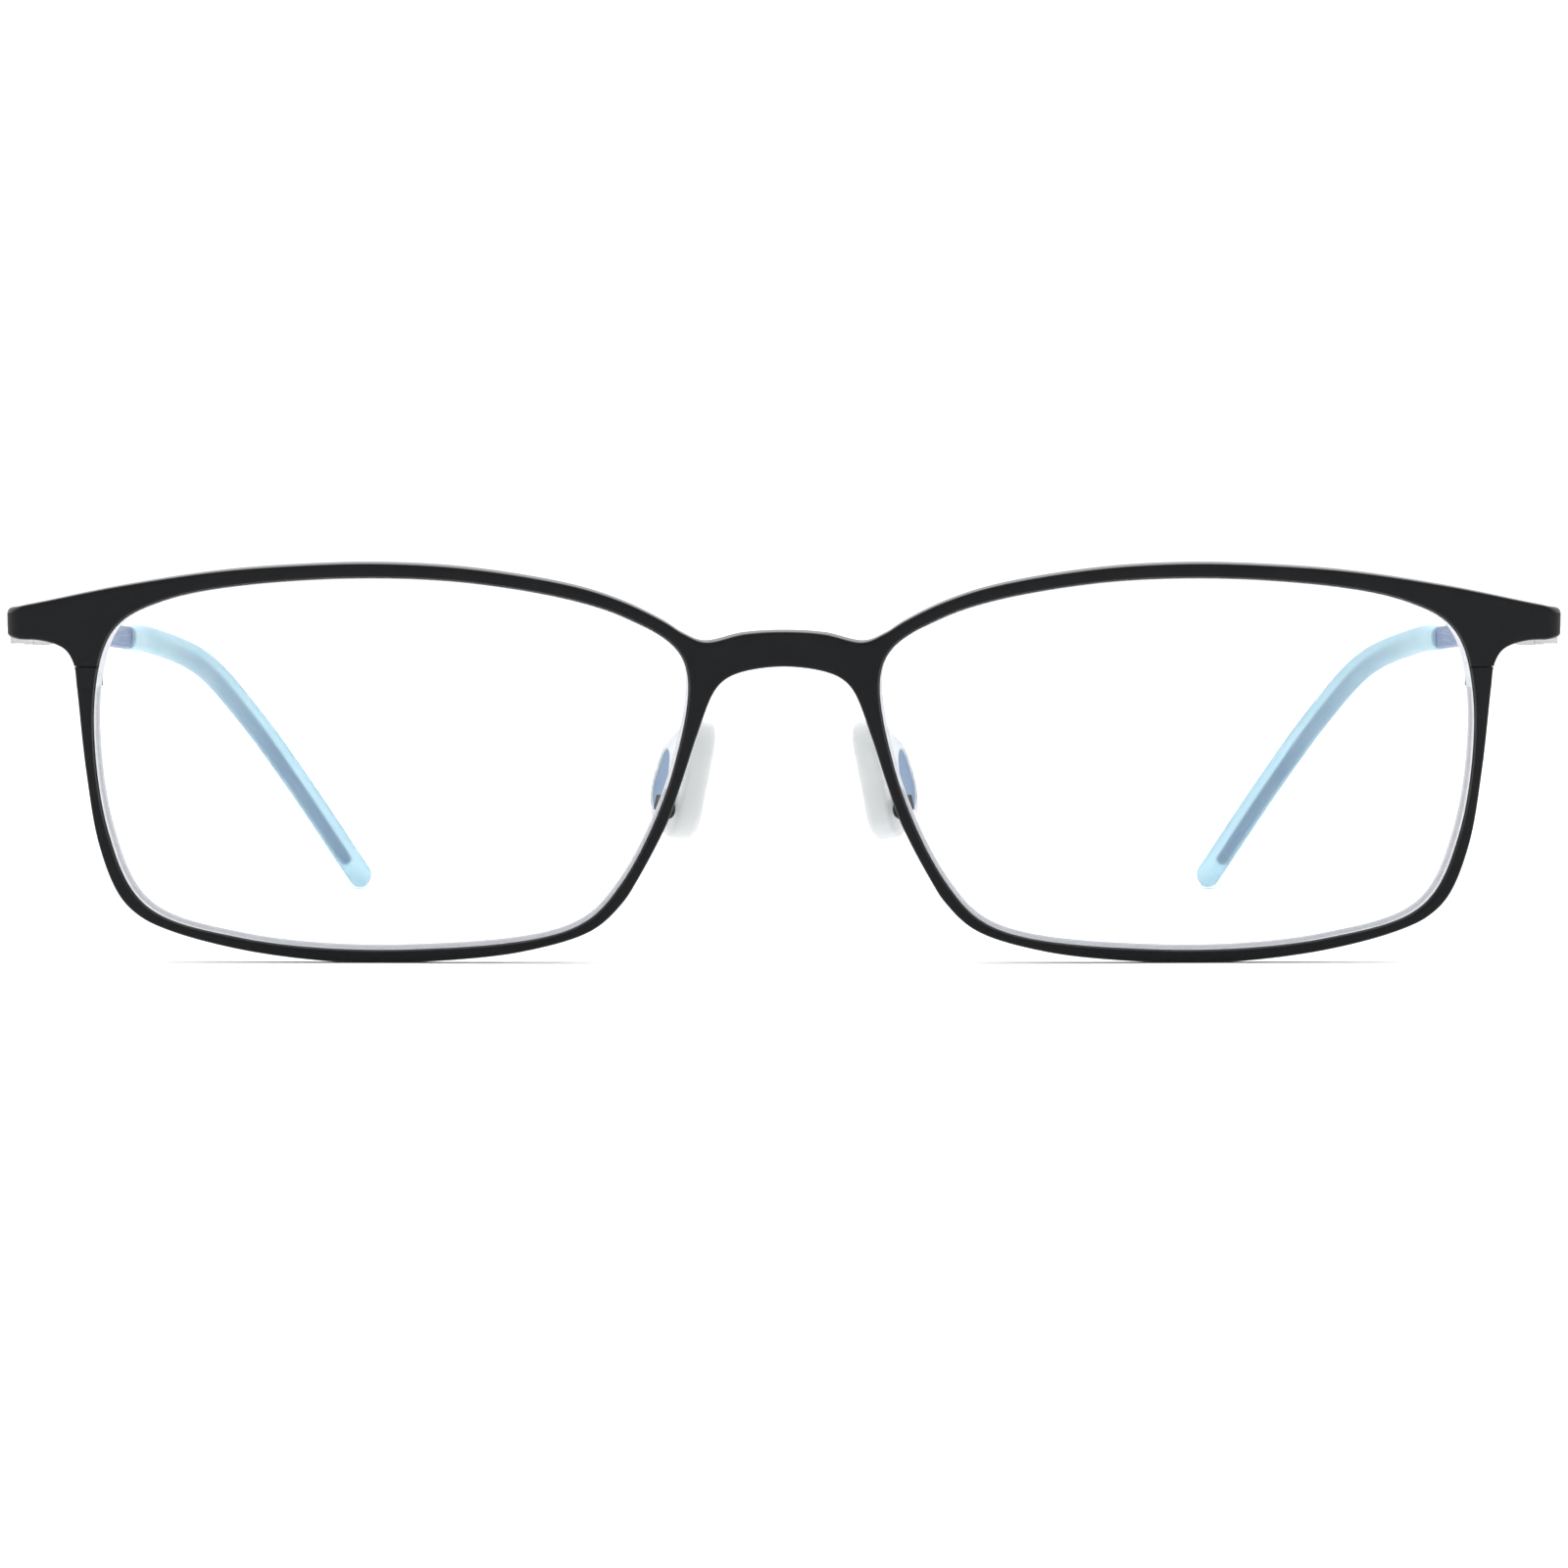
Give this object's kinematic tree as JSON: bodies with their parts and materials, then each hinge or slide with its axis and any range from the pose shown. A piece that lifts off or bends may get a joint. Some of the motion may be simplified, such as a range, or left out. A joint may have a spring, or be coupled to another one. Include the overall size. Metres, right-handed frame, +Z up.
{
  "type": "blue light glasses",
  "caption": "Full-rim glasses with a slim curved metal front, clear lenses, rocking silicone nose pads, folding metal temples and translucent curved tips.",
  "frame": {"origin": "on the surface that the open glasses stand on, below the middle of the object's box", "axes": "+X to the wearer's left, +Y backwards along the temples towards the tips, +Z up; the front faces -Y"},
  "size_m": [0.1412, 0.1354, 0.0364],
  "materials": {
    "frame_black": "matte",
    "lens": "polished and coated",
    "silver": "satin",
    "temple_blue": "satin",
    "tip_aqua": "translucent satin",
    "pad_white": "translucent satin"
  },
  "bodies": {
    "front": {"front_frame": "frame_black", "lens_left": "lens", "lens_right": "lens", "closing_block_upper_left": "frame_black", "closing_block_upper_right": "frame_black", "closing_block_lower_left": "frame_black", "closing_block_lower_right": "frame_black", "closing_screw_left": "silver", "closing_screw_right": "silver", "pad_arm_left": "frame_black", "pad_arm_right": "frame_black", "pad_screw_left": "silver", "pad_screw_right": "silver", "hinge_front_leaf_left": "silver", "hinge_front_leaf_right": "silver", "hinge_screw_left": "silver", "hinge_screw_right": "silver"},
    "temple_left": {"temple_left": "temple_blue", "temple_tip_left": "tip_aqua", "hinge_temple_leaf_left": "silver"},
    "temple_right": {"temple_right": "temple_blue", "temple_tip_right": "tip_aqua", "hinge_temple_leaf_right": "silver"},
    "pad_left": {"nose_pad_left": "pad_white", "pad_holder_left": "temple_blue"},
    "pad_right": {"nose_pad_right": "pad_white", "pad_holder_right": "temple_blue"}
  },
  "joints": [
    {"name": "temple_fold_left", "type": "hinge", "parent": "front", "child": "temple_left", "pos_m": [0.068, -0.05759, 0.0306], "axis": [0, 0, 1], "range_deg": [0, 70]},
    {"name": "temple_fold_right", "type": "hinge", "parent": "front", "child": "temple_right", "pos_m": [-0.068, -0.05759, 0.0306], "axis": [0, 0, -1], "range_deg": [0, 80]},
    {"name": "nose_pad_rock_left", "type": "hinge", "parent": "front", "child": "pad_left", "pos_m": [0.01091, -0.05815, 0.01427], "axis": [0.4067, 0.9135, 0], "range_deg": [-8, 8]},
    {"name": "nose_pad_rock_right", "type": "hinge", "parent": "front", "child": "pad_right", "pos_m": [-0.01091, -0.05815, 0.01427], "axis": [-0.4067, 0.9135, 0], "range_deg": [-8, 8]}
  ]
}
